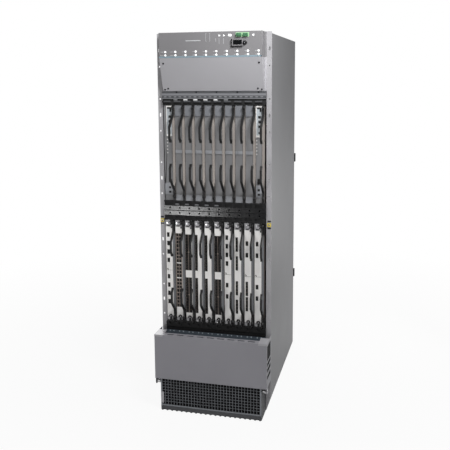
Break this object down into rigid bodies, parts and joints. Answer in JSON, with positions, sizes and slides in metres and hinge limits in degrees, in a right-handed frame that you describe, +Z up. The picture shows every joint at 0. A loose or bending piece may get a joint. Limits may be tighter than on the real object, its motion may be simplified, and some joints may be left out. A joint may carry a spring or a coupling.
{
  "type": "modular router chassis",
  "caption": "Tall 19-inch rack router with line cards and fabric cards on ejector levers, an indicator panel, a cable trough with a drop-down cover and an intake grille.",
  "frame": {"origin": "middle of the footprint, on the floor", "axes": "+Z up, -Y to the front with the cards, +X to the right seen from the front"},
  "size_m": [0.486, 0.916, 1.6002],
  "materials": {
    "chassis_grey": "satin powder coat",
    "panel_grey": "satin powder coat",
    "cover_grey": "satin powder coat, light grey",
    "rail_dark": "fine grain, black",
    "card_light": "semi-gloss off-white",
    "fabric_grey": "satin grey",
    "control_grey": "satin light grey",
    "lever_black": "moulded black",
    "gloss_black": "polished black",
    "terminal_green": "moulded green",
    "jack_yellow": "plain yellow",
    "grille_dark": "dark grey",
    "board_green": "solder-masked board",
    "module_grey": "satin grey"
  },
  "bodies": {
    "chassis": {"left_side_panel": "chassis_grey", "right_side_panel": "chassis_grey", "top_panel": "chassis_grey", "base_pan": "chassis_grey", "rear_panel": "chassis_grey", "midplane": "board_green", "upper_card_rail": "rail_dark", "middle_cable_tray": "rail_dark", "lower_card_rail": "rail_dark", "craft_panel": "panel_grey", "blank_cover": "cover_grey", "craft_display": "gloss_black", "alarm_terminals": "terminal_green", "esd_jacks": "jack_yellow", "intake_grille": "grille_dark", "power_shelf": "module_grey"},
    "control_card_left": {"control_card_left": "control_grey"},
    "fabric_card_1": {"fabric_card_1": "fabric_grey"},
    "fabric_card_2": {"fabric_card_2": "fabric_grey"},
    "fabric_card_3": {"fabric_card_3": "fabric_grey"},
    "fabric_card_4": {"fabric_card_4": "fabric_grey"},
    "fabric_card_5": {"fabric_card_5": "fabric_grey"},
    "fabric_card_6": {"fabric_card_6": "fabric_grey"},
    "fabric_card_7": {"fabric_card_7": "fabric_grey"},
    "fabric_card_8": {"fabric_card_8": "fabric_grey"},
    "control_card_right": {"control_card_right": "control_grey"},
    "fan_tray_upper": {"fan_tray_upper": "module_grey"},
    "fan_tray_lower": {"fan_tray_lower": "module_grey"},
    "alarm_button": {"alarm_button": "gloss_black"},
    "lower_cover": {"lower_cover": "panel_grey"},
    "line_card_01": {"line_card_01": "card_light"},
    "lever_upper_01": {"lever_upper_01": "lever_black"},
    "lever_lower_01": {"lever_lower_01": "lever_black"},
    "line_card_02": {"line_card_02": "card_light"},
    "lever_upper_02": {"lever_upper_02": "lever_black"},
    "lever_lower_02": {"lever_lower_02": "lever_black"},
    "line_card_03": {"line_card_03": "card_light"},
    "lever_upper_03": {"lever_upper_03": "lever_black"},
    "lever_lower_03": {"lever_lower_03": "lever_black"},
    "line_card_04": {"line_card_04": "card_light"},
    "lever_upper_04": {"lever_upper_04": "lever_black"},
    "lever_lower_04": {"lever_lower_04": "lever_black"},
    "line_card_05": {"line_card_05": "card_light"},
    "lever_upper_05": {"lever_upper_05": "lever_black"},
    "lever_lower_05": {"lever_lower_05": "lever_black"},
    "line_card_06": {"line_card_06": "card_light"},
    "lever_upper_06": {"lever_upper_06": "lever_black"},
    "lever_lower_06": {"lever_lower_06": "lever_black"},
    "line_card_07": {"line_card_07": "card_light"},
    "lever_upper_07": {"lever_upper_07": "lever_black"},
    "lever_lower_07": {"lever_lower_07": "lever_black"},
    "line_card_08": {"line_card_08": "card_light"},
    "lever_upper_08": {"lever_upper_08": "lever_black"},
    "lever_lower_08": {"lever_lower_08": "lever_black"},
    "line_card_09": {"line_card_09": "card_light"},
    "lever_upper_09": {"lever_upper_09": "lever_black"},
    "lever_lower_09": {"lever_lower_09": "lever_black"},
    "line_card_10": {"line_card_10": "card_light"},
    "lever_upper_10": {"lever_upper_10": "lever_black"},
    "lever_lower_10": {"lever_lower_10": "lever_black"}
  },
  "joints": [
    {"name": "control_card_left_slide", "type": "slide", "parent": "chassis", "child": "control_card_left", "axis": [0, -1, 0], "range_m": [0, 0.42]},
    {"name": "fabric_card_1_slide", "type": "slide", "parent": "chassis", "child": "fabric_card_1", "axis": [0, -1, 0], "range_m": [0, 0.42]},
    {"name": "fabric_card_2_slide", "type": "slide", "parent": "chassis", "child": "fabric_card_2", "axis": [0, -1, 0], "range_m": [0, 0.42]},
    {"name": "fabric_card_3_slide", "type": "slide", "parent": "chassis", "child": "fabric_card_3", "axis": [0, -1, 0], "range_m": [0, 0.42]},
    {"name": "fabric_card_4_slide", "type": "slide", "parent": "chassis", "child": "fabric_card_4", "axis": [0, -1, 0], "range_m": [0, 0.42]},
    {"name": "fabric_card_5_slide", "type": "slide", "parent": "chassis", "child": "fabric_card_5", "axis": [0, -1, 0], "range_m": [0, 0.42]},
    {"name": "fabric_card_6_slide", "type": "slide", "parent": "chassis", "child": "fabric_card_6", "axis": [0, -1, 0], "range_m": [0, 0.42]},
    {"name": "fabric_card_7_slide", "type": "slide", "parent": "chassis", "child": "fabric_card_7", "axis": [0, -1, 0], "range_m": [0, 0.42]},
    {"name": "fabric_card_8_slide", "type": "slide", "parent": "chassis", "child": "fabric_card_8", "axis": [0, -1, 0], "range_m": [0, 0.42]},
    {"name": "control_card_right_slide", "type": "slide", "parent": "chassis", "child": "control_card_right", "axis": [0, -1, 0], "range_m": [0, 0.42]},
    {"name": "fan_tray_upper_slide", "type": "slide", "parent": "chassis", "child": "fan_tray_upper", "axis": [0, 1, 0], "range_m": [0, 0.23]},
    {"name": "fan_tray_lower_slide", "type": "slide", "parent": "chassis", "child": "fan_tray_lower", "axis": [0, 1, 0], "range_m": [0, 0.23]},
    {"name": "alarm_button_press", "type": "slide", "parent": "chassis", "child": "alarm_button", "axis": [0, 1, 0], "range_m": [0, 0.002], "stiffness_N_per_m": 400},
    {"name": "lower_cover_hinge", "type": "hinge", "parent": "chassis", "child": "lower_cover", "pos_m": [0, -0.439, 0.127], "axis": [1, 0, 0], "range_deg": [0, 90]},
    {"name": "line_card_01_slide", "type": "slide", "parent": "chassis", "child": "line_card_01", "axis": [0, -1, 0], "range_m": [0, 0.42]},
    {"name": "lever_upper_01_pivot", "type": "hinge", "parent": "line_card_01", "child": "lever_upper_01", "pos_m": [-0.17985, -0.366, 0.811], "axis": [-1, 0, 0], "range_deg": [0, 60]},
    {"name": "lever_lower_01_pivot", "type": "hinge", "parent": "line_card_01", "child": "lever_lower_01", "pos_m": [-0.17985, -0.366, 0.3886], "axis": [1, 0, 0], "range_deg": [0, 60]},
    {"name": "line_card_02_slide", "type": "slide", "parent": "chassis", "child": "line_card_02", "axis": [0, -1, 0], "range_m": [0, 0.42]},
    {"name": "lever_upper_02_pivot", "type": "hinge", "parent": "line_card_02", "child": "lever_upper_02", "pos_m": [-0.13675, -0.366, 0.811], "axis": [-1, 0, 0], "range_deg": [0, 60]},
    {"name": "lever_lower_02_pivot", "type": "hinge", "parent": "line_card_02", "child": "lever_lower_02", "pos_m": [-0.13675, -0.366, 0.3886], "axis": [1, 0, 0], "range_deg": [0, 60]},
    {"name": "line_card_03_slide", "type": "slide", "parent": "chassis", "child": "line_card_03", "axis": [0, -1, 0], "range_m": [0, 0.42]},
    {"name": "lever_upper_03_pivot", "type": "hinge", "parent": "line_card_03", "child": "lever_upper_03", "pos_m": [-0.09365, -0.366, 0.811], "axis": [-1, 0, 0], "range_deg": [0, 60]},
    {"name": "lever_lower_03_pivot", "type": "hinge", "parent": "line_card_03", "child": "lever_lower_03", "pos_m": [-0.09365, -0.366, 0.3886], "axis": [1, 0, 0], "range_deg": [0, 60]},
    {"name": "line_card_04_slide", "type": "slide", "parent": "chassis", "child": "line_card_04", "axis": [0, -1, 0], "range_m": [0, 0.42]},
    {"name": "lever_upper_04_pivot", "type": "hinge", "parent": "line_card_04", "child": "lever_upper_04", "pos_m": [-0.05055, -0.366, 0.811], "axis": [-1, 0, 0], "range_deg": [0, 60]},
    {"name": "lever_lower_04_pivot", "type": "hinge", "parent": "line_card_04", "child": "lever_lower_04", "pos_m": [-0.05055, -0.366, 0.3886], "axis": [1, 0, 0], "range_deg": [0, 60]},
    {"name": "line_card_05_slide", "type": "slide", "parent": "chassis", "child": "line_card_05", "axis": [0, -1, 0], "range_m": [0, 0.42]},
    {"name": "lever_upper_05_pivot", "type": "hinge", "parent": "line_card_05", "child": "lever_upper_05", "pos_m": [-0.00745, -0.366, 0.811], "axis": [-1, 0, 0], "range_deg": [0, 60]},
    {"name": "lever_lower_05_pivot", "type": "hinge", "parent": "line_card_05", "child": "lever_lower_05", "pos_m": [-0.00745, -0.366, 0.3886], "axis": [1, 0, 0], "range_deg": [0, 60]},
    {"name": "line_card_06_slide", "type": "slide", "parent": "chassis", "child": "line_card_06", "axis": [0, -1, 0], "range_m": [0, 0.42]},
    {"name": "lever_upper_06_pivot", "type": "hinge", "parent": "line_card_06", "child": "lever_upper_06", "pos_m": [0.03565, -0.366, 0.811], "axis": [-1, 0, 0], "range_deg": [0, 60]},
    {"name": "lever_lower_06_pivot", "type": "hinge", "parent": "line_card_06", "child": "lever_lower_06", "pos_m": [0.03565, -0.366, 0.3886], "axis": [1, 0, 0], "range_deg": [0, 60]},
    {"name": "line_card_07_slide", "type": "slide", "parent": "chassis", "child": "line_card_07", "axis": [0, -1, 0], "range_m": [0, 0.42]},
    {"name": "lever_upper_07_pivot", "type": "hinge", "parent": "line_card_07", "child": "lever_upper_07", "pos_m": [0.07875, -0.366, 0.811], "axis": [-1, 0, 0], "range_deg": [0, 60]},
    {"name": "lever_lower_07_pivot", "type": "hinge", "parent": "line_card_07", "child": "lever_lower_07", "pos_m": [0.07875, -0.366, 0.3886], "axis": [1, 0, 0], "range_deg": [0, 60]},
    {"name": "line_card_08_slide", "type": "slide", "parent": "chassis", "child": "line_card_08", "axis": [0, -1, 0], "range_m": [0, 0.42]},
    {"name": "lever_upper_08_pivot", "type": "hinge", "parent": "line_card_08", "child": "lever_upper_08", "pos_m": [0.12185, -0.366, 0.811], "axis": [-1, 0, 0], "range_deg": [0, 60]},
    {"name": "lever_lower_08_pivot", "type": "hinge", "parent": "line_card_08", "child": "lever_lower_08", "pos_m": [0.12185, -0.366, 0.3886], "axis": [1, 0, 0], "range_deg": [0, 60]},
    {"name": "line_card_09_slide", "type": "slide", "parent": "chassis", "child": "line_card_09", "axis": [0, -1, 0], "range_m": [0, 0.42]},
    {"name": "lever_upper_09_pivot", "type": "hinge", "parent": "line_card_09", "child": "lever_upper_09", "pos_m": [0.16495, -0.366, 0.811], "axis": [-1, 0, 0], "range_deg": [0, 60]},
    {"name": "lever_lower_09_pivot", "type": "hinge", "parent": "line_card_09", "child": "lever_lower_09", "pos_m": [0.16495, -0.366, 0.3886], "axis": [1, 0, 0], "range_deg": [0, 60]},
    {"name": "line_card_10_slide", "type": "slide", "parent": "chassis", "child": "line_card_10", "axis": [0, -1, 0], "range_m": [0, 0.42]},
    {"name": "lever_upper_10_pivot", "type": "hinge", "parent": "line_card_10", "child": "lever_upper_10", "pos_m": [0.20805, -0.366, 0.811], "axis": [-1, 0, 0], "range_deg": [0, 60]},
    {"name": "lever_lower_10_pivot", "type": "hinge", "parent": "line_card_10", "child": "lever_lower_10", "pos_m": [0.20805, -0.366, 0.3886], "axis": [1, 0, 0], "range_deg": [0, 60]}
  ]
}
